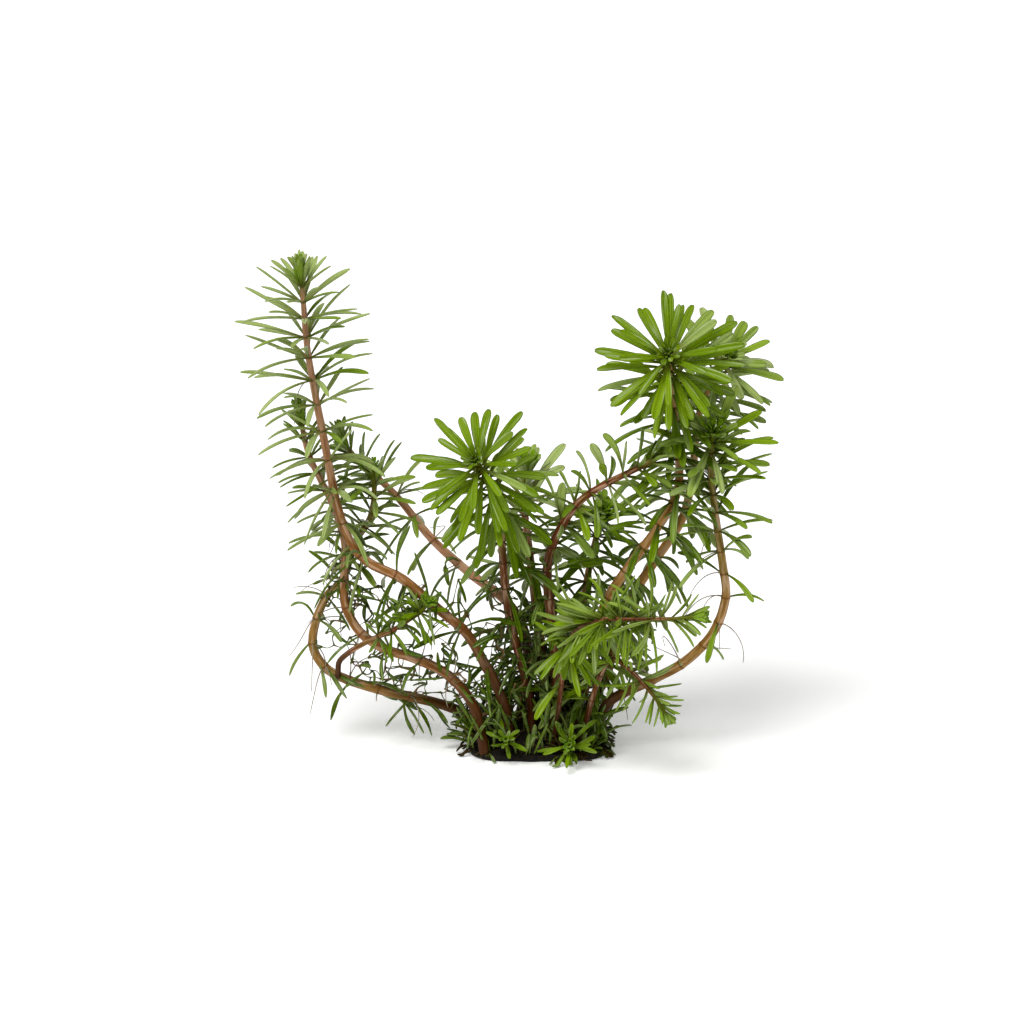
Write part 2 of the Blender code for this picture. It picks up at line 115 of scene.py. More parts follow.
CROWN_HALF_WIDTH = 17.5
CROWN_HALF_DEPTH = 12.5
CROWN_RIM_HEIGHT = 1.6
CROWN_DOME_HEIGHT = 3.2
CROWN_SQUARENESS = 4
CUT_SEEN = (-12, 4)
CROWN_ROOTS = 260
CROWN_ROOT_RADII = (0.14, 0.34)
CROWN_LEAVES = [
    dict(count=75, reach=(0.5, 1.0), rise=(0.1, 1.4), fall=(-1.4, 0.2), length=(4, 9), width=(0.8, 1.7),
         dead_share=0.45),
    dict(count=40, reach=(0.7, 0.97), rise=(1.5, 4), fall=(0.5, 3), length=(4, 8), width=(0.8, 1.6),
         dead_share=0.3),
    dict(count=75, reach=(0, 0.95), rise=(1, 4), fall=(-0.2, 3), length=(7, 16), width=(1, 1.6),
         dead_share=0.2),
    dict(count=70, reach=(0.88, 1), rise=(-0.3, 0.5), fall=(-3, -1), length=(3, 5), width=(0.6, 1.2),
         dead_share=0.75),
]


@dataclass
class Shoot:
    """A shoot: where it stands, its route, and how its leaves change along it."""

    name: str
    foot: tuple
    route: list
    foot_radius: float = 1.3
    tip_radius: float = 0.55
    bare: float = 8.0
    foot_gap: float = 10.0
    tip_gap: float = 3.2
    tip_leaf: float = 15.0
    foot_leaf: float = 14.0
    bud_leaf: float = 0.4
    bud_rows: int = 6
    bud_angle: float = 28.0
    bud_closed: float = 0.0
    open_angle: float = 78.0
    opens_over: float = 3.5
    leaf_width: float = 1.7
    old_width: float = 1.4
    twist: float = 0.0
    droop: float = 1.2
    hangs_below: float = 0.9
    blunt: float = 0.55
    star: bool = False
    whorl: int = 7
    old_leaves: int = 7
    old_at: float = 0.3
    thins_out: tuple = (0.25, 0.6)
    loose: int = 0
    loose_from: float = 0.0
    loose_to: float = 0.5
    loose_angles: tuple = (40, 120)
    netted: float = 0.0
    # Paleness of the leaves higher up: painted sheen and painted glow of light through them.
    pale: float = 0.0
    # Shifts the leaves towards deep green: painted shade on shoots deep in the bunch, such as
    # sprout_shaded; below zero it lightens a shoot.
    dark: float = 0.0
    rootlets: float = 0.0
    most_facing: float = 1.1
    bark: str = "brown"


STAR = dict(tip_gap=1.9, old_width=1.7, bud_rows=2, bud_angle=34.0, opens_over=1.4, bud_leaf=0.28,
            hangs_below=1.0, blunt=1.0, old_at=0.1, star=True)

SHOOTS = [
    Shoot("shoot_tall_left", (-7, 6), [
        (-8, 9, 6), (-10.5, 15.5, 6), (-13.3, 20.8, 6), (-17.8, 28.5, 6), (-26.3, 35.8, 6), (-34, 42.3, 6),
        (-42.5, 46.5, 5), (-46.5, 50.8, 4), (-49.5, 58.3, 3), (-53.3, 77, 2), (-57.3, 99.5, 0),
        (-58.3, 112, 0), (-59, 121.5, 0)],
        bare=14, foot_gap=13, tip_gap=3.3, tip_leaf=17, foot_leaf=16.5, bud_leaf=0.3, bud_closed=1.0,
        open_angle=76, opens_over=2.6, leaf_width=1.9, droop=0.7, whorl=10, old_leaves=3,
        thins_out=(0.35, 0.75), loose=24, loose_to=0.65, loose_angles=(15, 110), netted=0.45, pale=0.85,
        dark=-0.4, rootlets=0.8),
    Shoot("shoot_low_left", (-13.5, 9.5), [
        (-14.3, 3.8, 9), (-16.5, 11, 8), (-22.8, 18.3, 7), (-31.5, 22.5, 5), (-37.5, 24.3, 4),
        (-44.3, 28.5, 2), (-48.3, 35.5, 0), (-48.5, 42.8, -1), (-48.3, 50.8, -1.5), (-50.8, 59.5, -3),
        (-57.3, 73.3, -5), (-58.8, 79.5, -6), (-60, 86.8, -6)],
        bare=18, tip_leaf=11, foot_leaf=12, bud_closed=1.0, leaf_width=1.6, old_width=0.9, droop=0.8,
        whorl=6, old_leaves=1, thins_out=(0.4, 0.9), loose=7, loose_angles=(15, 120), netted=0.7, pale=0.35,
        dark=0.5, rootlets=1.6),
    Shoot("shoot_outer_left", (-13.5, -4), [
        (-18.5, 8, -4), (-24.5, 10.5, -4), (-38.3, 13.8, -4), (-49.5, 17.3, -4), (-53.8, 20, -4),
        (-56.5, 24.5, -4), (-56.3, 29.8, -4), (-53, 38, -4.5), (-49.5, 41.5, -5), (-45.5, 52, -6),
        (-42, 57.8, -6), (-41, 66.3, -4), (-42, 71.5, -3)],
        bare=14, foot_gap=9, tip_leaf=12, bud_rows=2, bud_angle=48, opens_over=1.2, leaf_width=1.9,
        old_width=1.1, droop=0.8, whorl=6, old_leaves=1, thins_out=(0.45, 0.9), loose=17, loose_to=0.45,
        loose_angles=(125, 165), netted=0.7, pale=0.35, dark=0.1, rootlets=2.0, bark="tan"),
    Shoot("side_shoot_red", None, [
        (-50.3, 18.9, -2.2), (-50, 21.3, -1), (-47.3, 23.8, 2), (-41.8, 27, 7), (-36.3, 29.5, 9),
        (-32.3, 32, 10), (-28.8, 34.5, 11), (-27.3, 37, 12)],
        foot_radius=0.7, tip_radius=0.45, bare=20, foot_gap=6, tip_gap=2.0, tip_leaf=9, foot_leaf=6,
        bud_rows=3, bud_angle=45, opens_over=1.2, leaf_width=1.6, old_width=0.9, droop=0.4, old_at=-0.1,
        loose=6, loose_from=0.6, loose_to=0.95, dark=0.3, bark="red"),
    Shoot("shoot_back_left", (-5, -7), [
        (-3.5, 12, -8), (-2.8, 26.5, -9), (-7, 35.5, -10), (-16.8, 43.3, -11), (-26.5, 52, -12),
        (-36, 63.5, -14), (-48.3, 75.3, -15), (-50, 80.8, -15)],
        bare=9, foot_gap=13, tip_gap=3.6, tip_leaf=14, bud_closed=1.0, old_width=1.1, old_leaves=2,
        thins_out=(0.45, 0.8), loose=10, loose_to=0.35, netted=0.25, pale=0.4, dark=-0.3, rootlets=0.6,
        bark="pink"),
    Shoot("shoot_star_left", (-1.5, 2), [
        (-2, 12, 1.5), (-4.5, 22, 1), (-7.5, 34.5, 1), (-9, 50.8, 4), (-9, 56, 7), (-11, 64, 15.5),
        (-13.3, 68.3, 22), (-15.8, 72, 30)],
        foot_radius=1.1, bare=7, tip_leaf=16.5, foot_leaf=18, leaf_width=2.2, old_leaves=3,
        thins_out=(0.45, 0.85), loose=10, loose_to=0.6, netted=0.45, dark=1.0, bark="red", **STAR),
    Shoot("shoot_behind_star", (1, -5), [
        (1.8, 12, -5.5), (0.5, 27, -6), (-2.5, 52, -6), (-3.3, 59.5, -6), (-2.5, 70.8, -4)],
        tip_gap=2.8, tip_leaf=18, opens_over=2, leaf_width=3.0, blunt=0.9, loose=8, loose_to=0.7,
        netted=0.3, pale=1.2),
    Shoot("shoot_leaning_right", (4, 0.5), [
        (4.5, 12, 1), (4.3, 24.5, 2), (2.3, 44.8, 5), (3.8, 51.3, 6.5), (10, 61.3, 8), (16, 65.5, 9),
        (26, 70.5, 10.5), (33.5, 74.5, 11)],
        tip_gap=3.0, tip_leaf=13, foot_leaf=13, leaf_width=2.5, old_width=1.6, twist=0.8, droop=0.3,
        blunt=0.8, whorl=6, old_leaves=4, old_at=0.05, loose=10, loose_to=0.85, netted=0.25, pale=0.3,
        dark=-0.4, bark="red"),
    Shoot("shoot_star_right", (9, -2), [
        (10.5, 10.8, -1), (13.5, 20.3, 1), (16.8, 35.8, 2), (23.8, 46.8, 2), (29, 53.8, 1),
        (34.8, 64, -0.5), (35, 74.5, -1), (34, 83, 0), (33.3, 90, 3), (32.6, 95.3, 9), (31.8, 98.3, 17)],
        tip_leaf=19, foot_leaf=16, leaf_width=2.4, droop=0.9, loose=9, netted=0.25, dark=0.4, bark="amber",
        **STAR),
    Shoot("shoot_top_right", (11, -8), [
        (13, 10, -9), (17.3, 17.5, -10), (20.5, 32, -12), (29, 45.8, -14), (36.5, 57.5, -16),
        (38.8, 67.3, -18), (40.5, 83.3, -20), (43.5, 91.5, -19.5), (46, 96.3, -17), (48, 98.8, -12.5)],
        bare=9, tip_gap=2.2, tip_leaf=16, bud_angle=34, opens_over=1.5, leaf_width=2.7, droop=0.9,
        blunt=1.0, star=True, old_at=0.1, loose=9, netted=0.2, pale=0.6, bark="amber"),
    Shoot("shoot_outer_right", (14.5, 0), [
        (16, 7.8, 0.5), (18.3, 11.5, 1), (28, 16.5, 3), (37, 21.5, 4), (44, 29, 5), (47, 38, 5),
        (46.3, 44.8, 5), (44.3, 58, 5), (43, 69.3, 5), (43.2, 76, 6.5), (43.3, 79.5, 10)],
        bare=14, foot_gap=9.5, tip_gap=2.6, tip_leaf=17, foot_leaf=13, bud_leaf=0.42, bud_rows=3,
        bud_angle=40, opens_over=1.0, leaf_width=2.5, old_width=0.8, droop=0.6, blunt=0.9, whorl=8,
        old_leaves=1, old_at=-0.6, thins_out=(0.5, 0.85), pale=0.25, dark=-0.5, rootlets=1.8, bark="tan"),
    Shoot("shoot_low_right", (4, 8), [
        (5, 8, 10), (6.8, 22, 18), (9.8, 30, 25), (16.5, 32.5, 30), (22, 32.5, 32), (34, 32.8, 35),
        (40, 33.3, 36)],
        foot_radius=0.62, tip_radius=0.36, foot_gap=7, tip_gap=2.2, tip_leaf=12.5, old_width=1.9, droop=0.3,
        old_leaves=1, old_at=-0.6, thins_out=(0.35, 0.6), loose=110, loose_from=0.44, loose_to=0.86,
        loose_angles=(80, 160), pale=0.2, dark=-0.45, most_facing=0.4, bark="red"),
    Shoot("shoot_foot_right", (11, 6), [
        (13, 10, 9), (15.5, 18, 14), (18.3, 22.3, 18), (22.8, 19.8, 23), (29.3, 12.5, 28), (32.5, 7.5, 29)],
        foot_radius=0.7, tip_radius=0.4, foot_gap=5.5, tip_gap=2.0, tip_leaf=9.5, foot_leaf=11,
        leaf_width=1.2, droop=0.3, old_leaves=1, old_at=-0.6, thins_out=(0.4, 0.6), loose=6,
        loose_from=0.55, loose_to=0.85, pale=0.3, dark=-0.4, most_facing=0.5, bark="red"),
    Shoot("sprout_front", (8, 9), [
        (8, 0.5, 13.5), (7.8, 0.8, 18.5)],
        foot_radius=0.8, tip_radius=0.4, bare=3, foot_gap=2, tip_gap=1.7, tip_leaf=9.5, foot_leaf=10,
        bud_rows=2, bud_angle=40, opens_over=1.5, leaf_width=1.2, droop=0, blunt=0.6, old_leaves=4,
        old_at=-0.9, thins_out=(1.5, 2.5), dark=0.3),
    Shoot("sprout_left", (-8, 9), [
        (-8, 1.6, 12), (-8, 2.2, 16)],
        foot_radius=0.7, tip_radius=0.4, bare=3, foot_gap=1.6, tip_gap=1.3, tip_leaf=6.5, foot_leaf=6.5,
        bud_rows=1, bud_angle=30, opens_over=3, leaf_width=0.9, droop=0, old_leaves=3, old_at=-0.2,
        thins_out=(1.5, 2.5), dark=1.2),
    Shoot("sprout_shaded", (6, -8), [
        (7, 15, -9), (9, 28, -11), (11.5, 37, -12), (13, 45, -13), (15, 54, -12.5), (16, 58, -10.5),
        (16.4, 59.5, -8)],
        foot_radius=1.1, foot_gap=8.5, tip_gap=2.0, tip_leaf=13, foot_leaf=13, bud_rows=3, bud_angle=40,
        opens_over=1.3, leaf_width=1.9, blunt=0.8, whorl=9, loose=12, loose_to=0.8, netted=0.3, dark=1.3,
        bark="amber"),
]


def mix(a, b, share):
    """The value a share of the way from a to b."""
    return a + (b - a) * share


def smoothstep(low, high, value):
    """Rises smoothly from 0 at low to 1 at high."""
    share = min(1.0, max(0.0, (value - low) / (high - low)))
    return share * share * (3 - 2 * share)


def scatter(chance, spread):
    """A random vector."""
    return Vector([chance.gauss(0, spread) for _ in range(3)])


def add_object(name, data):
    """A new object in the scene."""
    thing = bpy.data.objects.new(name, data)
    bpy.context.scene.collection.objects.link(thing)
    return thing


def crown_height(x, y):
    """Height of the crown's top over the cut, in millimetres."""
    edge = (abs(x) / CROWN_HALF_WIDTH) ** 2 + (abs(y) / CROWN_HALF_DEPTH) ** 2
    return CROWN_RIM_HEIGHT + CROWN_DOME_HEIGHT * max(0.0, 1 - edge)


def crown_reach(angle):
    """The point of the crown's rounded outline at an angle, in millimetres."""
    cosine, sine = cos(angle), sin(angle)
    reach = (abs(cosine) ** CROWN_SQUARENESS + abs(sine) ** CROWN_SQUARENESS) ** (-1 / CROWN_SQUARENESS)
    return CROWN_HALF_WIDTH * reach * cosine, CROWN_HALF_DEPTH * reach * sine


def route_point(across, up, towards):
    """A route's point as a place in space, in millimetres."""
    height = (up + towards * sin(VIEW_TILT)) / cos(VIEW_TILT)
    return Vector((across, -towards, height))


def route_points(shoot):
    """A shoot's route from its foot, where it leaves the crown."""
    points = [route_point(*point) for point in shoot.route]
    if shoot.foot is None:
        return points
    x, towards = shoot.foot
    return [Vector((x, -towards, crown_height(x, -towards))), *points]


def smooth_curve(points, steps):
    """A centripetal Catmull-Rom curve through the points."""
    ends = [2 * points[0] - points[1], *points, 2 * points[-1] - points[-2]]
    curve = []
    for p0, p1, p2, p3 in zip(ends, ends[1:], ends[2:], ends[3:]):
        t1 = sqrt((p1 - p0).length)
        t2 = t1 + sqrt((p2 - p1).length)
        t3 = t2 + sqrt((p3 - p2).length)
        for step in range(steps):
            t = t1 + (t2 - t1) * step / steps
            a1 = p0.lerp(p1, t / t1)
            a2 = p1.lerp(p2, (t - t1) / (t2 - t1))
            a3 = p2.lerp(p3, (t - t2) / (t3 - t2))
            b1 = a1.lerp(a2, t / t2)
            b2 = a2.lerp(a3, (t - t1) / (t3 - t1))
            curve.append(b1.lerp(b2, (t - t1) / (t2 - t1)))
    return [*curve, points[-1]]


class Path:
    """A smooth curve, with directions and with side vectors that turn as little as they can."""

    def __init__(self, points, steps=6):
        self.points = smooth_curve(points, steps)
        parts = [b - a for a, b in zip(self.points, self.points[1:])]
        self.distances = [0.0, *itertools.accumulate(part.length for part in parts)]
        self.length = self.distances[-1]
        self.directions = [part.normalized() for part in parts]
        side = self.directions[0].orthogonal().normalized()
        self.sides = [side]
        for before, after in zip(self.directions, self.directions[1:]):
            side = before.rotation_difference(after) @ side
            self.sides.append(side)

    def at(self, distance):
        """Point, direction and side vector at a distance from the start, beyond the ends too."""
        index = bisect.bisect_right(self.distances, distance) - 1
        index = min(max(index, 0), len(self.directions) - 1)
        point = self.points[index] + self.directions[index] * (distance - self.distances[index])
        return point, self.directions[index], self.sides[index]


@dataclass
class Whorl:
    """A node of a stem: its index from the tip, and how far up the stem it sits."""

    index: int
    share: float
    distance: float


def whorls_along(shoot, length):
    """A stem's nodes from its tip down, with growing gaps."""
    whorls = []
    distance = length - shoot.tip_gap
    while distance > shoot.bare:
        share = distance / length
        whorls.append(Whorl(len(whorls), share, distance))
        distance -= mix(shoot.foot_gap, shoot.tip_gap, share ** GAP_GROWTH)
    return whorls


class Form:
    """A mesh in the making, with numbers at each point for its material."""

    def __init__(self, *names):
        self.points = []
        self.faces = []
        self.numbers = {name: [] for name in names}

    def add(self, point, **numbers):
        """Adds a point with its numbers, and returns its index."""
        self.points.append(point)
        for name, values in self.numbers.items():
            values.append(numbers[name])
        return len(self.points) - 1

    def loft(self, rings):
        """Adds faces between rings of points, and closes both ends."""
        self.faces.append(rings[0][::-1])
        for below, above in zip(rings, rings[1:]):
            for index, start in enumerate(below):
                after = (index + 1) % len(below)
                self.faces.append((start, below[after], above[after], above[index]))
        self.faces.append(rings[-1])

    def tube(self, path, radii, sides, count, waist=0.0, **numbers):
        """Adds a closed tube from one radius to another, narrower in its middle by a share."""
        rings = []
        for step in range(count + 1):
            share = step / count
            point, axis, side = path.at(path.length * share)
            radius = mix(*radii, share) * (1 - waist * sin(pi * share))
            ring = []
            for index in range(sides):
                out = Quaternion(axis, tau * index / sides) @ side
                place = point + out * radius
                place.z = max(place.z, FLOOR_GAP / 2)
                ring.append(self.add(place, **numbers))
            rings.append(ring)
        self.loft(rings)

    def finish(self, name, material, slot, *nodes):
        """Makes a smooth piece of the form, which may stand for CAD nodes."""
        data = bpy.data.meshes.new(name)
        data.from_pydata([point * MM for point in self.points], [], self.faces)
        for number, values in self.numbers.items():
            data.attributes.new(number, "FLOAT", "POINT").data.foreach_set("value", values)
        data.shade_smooth()
        data.materials.append(material)
        piece = add_object(name, data)
        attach(piece, BODY)
        if nodes:
            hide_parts(*nodes)


@dataclass
class Leaf:
    """A leaf in space: its root, its directions at both ends, its side vector, and its looks.

    Age runs from 0 in the bud to 1 on the old stem, and on to 2 for a dead leaf. A blunt leaf is
    broadest near its round tip, and any other in its middle, with a pointed tip.
    """

    root: Vector
    first: Vector
    last: Vector
    side: Vector
    length: float
    width: float
    blunt: float
    age: float
    tone: float
    # Paleness: painted sheen and glow on the leaf.
    pale: float
    twist: float

    def half_width(self, share):
        """The leaf's width at a share of its length, as a share of its greatest."""
        petiole = mix(0.3, 0.2, self.blunt)
        widest = mix(0.5, 0.76, self.blunt)
        tip = mix(0.45, 0.16, self.blunt)
        width = mix(petiole, 1.0, smoothstep(-0.1, widest, share))
        if share > 1 - tip:
            width *= sqrt(max(0.0, 1 - ((share - 1 + tip) / tip) ** 2))
        return width

    def line(self):
        """Shares, points and directions along the middle of the leaf."""
        point = self.root.copy()
        before = 0.0
        points = []
        for share in LEAF_STATIONS:
            middle = (before + share) / 2
            direction = self.first.lerp(self.last, smoothstep(-0.2, 1.2, middle)).normalized()
            point = point + direction * self.length * (share - before)
            point.z = max(point.z, FLOOR_GAP + 0.2)
            before = share
            points.append((share, point, direction))
        return points

    def draw(self, form):
        """Adds the leaf to a form, with a groove above and a keel below."""
        rings = []
        for share, point, direction in self.line():
            side = Quaternion(direction, self.twist * share) @ self.side
            side = (side - direction * side.dot(direction)).normalized()
            normal = side.cross(direction)
            wide = self.half_width(share)
            half = self.width / 2 * wide
            thick = LEAF_THICKNESS * mix(1.6, 0.8, share) * min(1.0, 0.3 + wide)
            ring = []
            for across in LEAF_TOP:
                groove = LEAF_GROOVE * half * max(0.0, 1 - abs(across) / GROOVE_REACH)
                over = LEAF_FOLD * half * abs(across) + thick * 0.5 * (1 - across ** 4) - groove
                ring.append((across, over, 0.0))
            for across in LEAF_UNDER:
                over = LEAF_FOLD * half * abs(across) - thick * mix(0.9, 0.4, abs(across))
                ring.append((across, over, 1.0))
            rings.append([
                form.add(point + side * half * across + normal * over, along=share, across=across,
                         under=under, age=self.age, tone=self.tone, pale=self.pale)
                for across, over, under in ring])
        form.loft(rings)


class Room:
    """The places that stems and leaves fill so far, kept in cells."""

    CELL = 2.0

    def __init__(self):
        self.cells = {}

    def cell(self, point):
        """The cell that a point falls in."""
        return tuple(int(value // self.CELL) for value in point)

    def add(self, point, owner, radius):
        """Marks a ball of space as filled."""
        self.cells.setdefault(self.cell(point), []).append((point, owner, radius))

    def crowding(self, point, owner, radius):
        """How far the balls of others reach into a ball at this point."""
        x, y, z = self.cell(point)
        total = 0.0
        for a, b, c in itertools.product((-1, 0, 1), repeat=3):
            for other, other_owner, other_radius in self.cells.get((x + a, y + b, z + c), ()):
                if other_owner != owner:
                    total += max(0.0, radius + other_radius - (other - point).length)
        return total


SWINGS = [radians(angle) for angle in (0, 9, -9, 18, -18)]
LIFTS = [radians(angle) for angle in (0, 9, -9, -18)]
LEAF_BALLS = (4, 6, 8, 10)
LEAF_NUMBERS = ("along", "across", "under", "age", "tone", "pale")
STEM_NUMBERS = ("rise", "ring", "east", "north", "far", "to_tip")


class Plant:
    """A stem with its leaves and rootlets, drawn in the room that the others leave."""

    def __init__(self, shoot):
        self.shoot = shoot
        self.path = Path(route_points(shoot))
        self.whorls = whorls_along(shoot, self.path.length)
        self.leaves = Form(*LEAF_NUMBERS)
        self.stem = Form(*STEM_NUMBERS)
        self.chance = random.Random(shoot.name)

    def radius(self, distance):
        """Radius of the stem at a distance from its foot."""
        share = max(0.0, distance) / self.path.length
        return mix(self.shoot.foot_radius, self.shoot.tip_radius, share ** STEM_TAPER)

    def node_nearness(self, distance):
        """How near the next node is: 1 on its ring, and 0 away from it."""
        gap = min(abs(whorl.distance - distance) for whorl in self.whorls)
        return exp(-(gap / NODE_REACH) ** 2)

    def ring_distances(self):
        """Where along the stem its rings lie, closer at each node."""
        start = FLOOR_GAP - self.path.at(0)[0].z if self.shoot.foot else -SIDE_SHOOT_DEPTH
        end = self.path.length - STEM_END
        count = round((end - start) / RING_GAP)
        distances = [mix(start, end, step / count) for step in range(count + 1)]
        distances += [whorl.distance + step for whorl in self.whorls for step in NODE_RINGS]
        kept = []
        for distance in sorted(distances):
            if distance <= end and (not kept or distance - kept[-1] > RINGS_APART):
                kept.append(distance)
        return kept

    def draw_stem(self, room):
        """A stem with a swollen ring at each node, which runs into the crown or the stem below."""
        seed = self.chance.uniform(0, 100)
        rings = []
        for distance in self.ring_distances():
            point, axis, side = self.path.at(distance)
            near = self.node_nearness(distance)
            radius = self.radius(distance) * (1 + NODE_SWELL * near)
            share = max(0.0, distance) / self.path.length
            ring = []
            for index in range(STEM_SIDES):
                angle = tau * index / STEM_SIDES
                out = Quaternion(axis, angle) @ side
                wobble = 1 + STEM_WOBBLE * noise.noise(Vector((angle * 2, distance * 0.3, seed)))
                place = point + out * radius * wobble
                place.z = max(place.z, FLOOR_GAP)
                ring.append(self.stem.add(
                    place, rise=share, ring=near, east=cos(angle), north=sin(angle),
                    far=distance + seed, to_tip=self.path.length - distance))
            rings.append(ring)
            room.add(point, (self.shoot.name, "stem"), radius)
        self.stem.loft(rings)

    def hang(self, share):
        """How far leaves hang: not at all near the tip, and fully lower down."""
        return self.shoot.droop * smoothstep(0, 1, (self.shoot.hangs_below - share) / HANGS_OVER)

    def age(self, share):
        """Age of the leaves at a share of the stem's length."""
        # Older leaves lower down are drawn darker, partly as painted shade.
        return smoothstep(0.98, self.shoot.old_at, share) ** 1.5

    def leaf(self, distance, turn, length, width, angle, bend, hang, age):
        """A leaf at a turn round the stem and an angle to it, arching outwards."""
        chance = self.chance
        point, axis, side = self.path.at(distance)
        outward = Quaternion(axis, turn) @ side
        leans = (radians(angle) - radians(bend), radians(angle) + radians(bend))
        first, last = [(outward * sin(lean) + axis * cos(lean) + DOWN * hang * share).normalized()
                       for lean, share in zip(leans, HANG_ENDS)]
        root = point + outward * self.radius(distance) * LEAF_INSET
        blunt = self.shoot.blunt * mix(1.0, 0.6, min(age, 1.0))
        # Paleness is painted sheen and glow: it grows up the shoot, and some odd leaves get extra sheen.
        pale = self.shoot.pale * smoothstep(*PALE_SHEEN_SPAN, distance / self.path.length)
        pale += chance.gauss(0, 0.08 + 0.35 * pale)
        pale += ODD_SHEEN if chance.random() < SHEENED_LEAVES else 0.0
        # A shoot's darkness adds to the random tone, partly as painted shade.
        tone = chance.uniform(-1, 1) + self.shoot.dark
        twist = chance.gauss(0, mix(0.3, 1.1, age) + self.shoot.twist)
        side = outward.cross(axis).normalized()
        return Leaf(root, first, last, side, length, width, blunt, age, tone, pale, twist)

    def whorl_leaf(self, whorl, place, count):
        """The leaf that would grow at a place of a node in free room."""
        shoot, chance = self.shoot, self.chance
        turn = (whorl.index / 2 + place + chance.uniform(-0.15, 0.15)) * tau / count
        opened = min(1.0, whorl.index / shoot.opens_over)
        grown = mix(shoot.bud_leaf, 1.0, opened)
        length = mix(shoot.foot_leaf, shoot.tip_leaf, whorl.share) * grown
        length *= chance.uniform(mix(0.45, 0.85, whorl.share), 1.06)
        full = mix(shoot.old_width, shoot.leaf_width, whorl.share)
        width = mix(BUD_LEAF_WIDTH, full, grown) * chance.uniform(0.8, 1.1)
        spread = STAR_SPREAD if shoot.star else mix(*WHORL_SPREAD, whorl.share)
        angle = mix(shoot.bud_angle, shoot.open_angle, opened) + chance.gauss(0, spread)
        bend = mix(3, 7 if shoot.star else 10, opened) + chance.gauss(0, 4)
        hang = (self.hang(whorl.share) + chance.gauss(0, 0.1 + 0.4 * (1 - whorl.share))) * opened
        return self.leaf(whorl.distance, turn, length, width, angle, bend, hang, self.age(whorl.share))

    def crowding(self, leaf, room, owner):
        """How much a leaf would run into its neighbours."""
        line = leaf.line()
        return sum(room.crowding(line[ball][1], owner, leaf.width * BALL_SIZE) for ball in LEAF_BALLS)

    def place_leaf(self, wanted, distance, owner, room):
        """Draws a leaf in the posture, near the wanted one, with the most room.

        A shoot whose stem lies in plain sight has lost most of the leaves that faced the viewer.
        """
        if wanted.first.dot(TO_VIEWER) > self.shoot.most_facing and self.chance.random() > FACING_KEPT:
            return
        _, axis, _ = self.path.at(distance)
        least = inf
        for swing, lift in itertools.product(SWINGS, LIFTS):
            spin = Quaternion(axis, swing)
            turn = spin @ Quaternion(wanted.side, lift)
            leaf = replace(wanted, first=turn @ wanted.first, last=turn @ wanted.last,
                           side=spin @ wanted.side)
            cost = self.crowding(leaf, room, owner) + TURN_COST * (abs(swing) + abs(lift))
            if cost < least:
                best, least = leaf, cost
            if cost == 0:
                break
        line = best.line()
        for ball in LEAF_BALLS:
            room.add(line[ball][1], owner, best.width * BALL_SIZE)
        best.draw(self.leaves)

    def grow_whorl(self, whorl, room):
        """Grows all leaves of a node; the old stem has lost some of its own."""
        full = STAR_WHORL if self.shoot.star and whorl.index < STAR_WHORLS else self.shoot.whorl
        count = round(mix(self.shoot.old_leaves, full, smoothstep(*self.shoot.thins_out, whorl.share)))
        for place in range(count):
            wanted = self.whorl_leaf(whorl, place, count)
            self.place_leaf(wanted, whorl.distance, (self.shoot.name, whorl.index), room)

    def grow_loose(self, room):
        """Grows leaves at odd places of the stem."""
        shoot, chance = self.shoot, self.chance
        start = max(LOOSE_FROM, shoot.loose_from * self.path.length)
        for number in range(shoot.loose):
            distance = chance.uniform(start, shoot.loose_to * self.path.length)
            share = distance / self.path.length
            length = mix(shoot.foot_leaf, shoot.tip_leaf, share) * chance.uniform(0.6, 1.0)
            width = mix(shoot.old_width, shoot.leaf_width, share) * chance.uniform(0.75, 1.1)
            hang = self.hang(share) * chance.uniform(0.0, 0.9)
            age = self.age(share) + chance.uniform(0.0, 0.2)
            wanted = self.leaf(distance, chance.uniform(0, tau), length, width,
                               chance.uniform(*shoot.loose_angles), chance.gauss(0, 14), hang, age)
            self.place_leaf(wanted, distance, (shoot.name, "loose", number), room)

    def grow_bud(self):
        """Closes the tip with a few rows of small leaves, the inner ones upright."""
        shoot = self.shoot
        depth = shoot.tip_gap * (1 + shoot.bud_closed)
        lean = mix(1.0, 0.6, shoot.bud_closed)
        bend = mix(4, -10, shoot.bud_closed)
        for row in range(shoot.bud_rows):
            share = (row + 0.5) / shoot.bud_rows
            for place in range(BUD_ROW_LEAVES):
                turn = (place + row / 2 + self.chance.uniform(-0.15, 0.15)) * tau / BUD_ROW_LEAVES
                length = shoot.tip_leaf * shoot.bud_leaf * mix(0.3, 0.5 if shoot.star else 0.85, share)
                width = mix(0.5, 0.9 if shoot.star else 1.45, share)
                leaf = self.leaf(self.path.length - depth * share, turn,
                                 length * self.chance.uniform(0.85, 1.1), width,
                                 mix(8, shoot.bud_angle * lean, share), bend, 0,
                                 0.4 if shoot.star else -0.4)
                leaf.pale = -0.2
                leaf.draw(self.leaves)

    def grow_rootlets(self, form):
        """Thin pale rootlets that hang in arcs from the nodes of the old stem."""
        for whorl in self.whorls:
            wanted = self.shoot.rootlets * smoothstep(0.85, 0.5, whorl.share)
            for _ in range(int(wanted + self.chance.random())):
                point, axis, side = self.path.at(whorl.distance)
                out = Quaternion(axis, self.chance.uniform(0, tau)) @ side
                points = self.rootlet_line(point, (out + UP * 0.3).normalized())
                if min(place.z for place in points) > FLOOR_GAP * 2:
                    form.tube(Path(points, 4), ROOTLET_RADII, 5, 16)

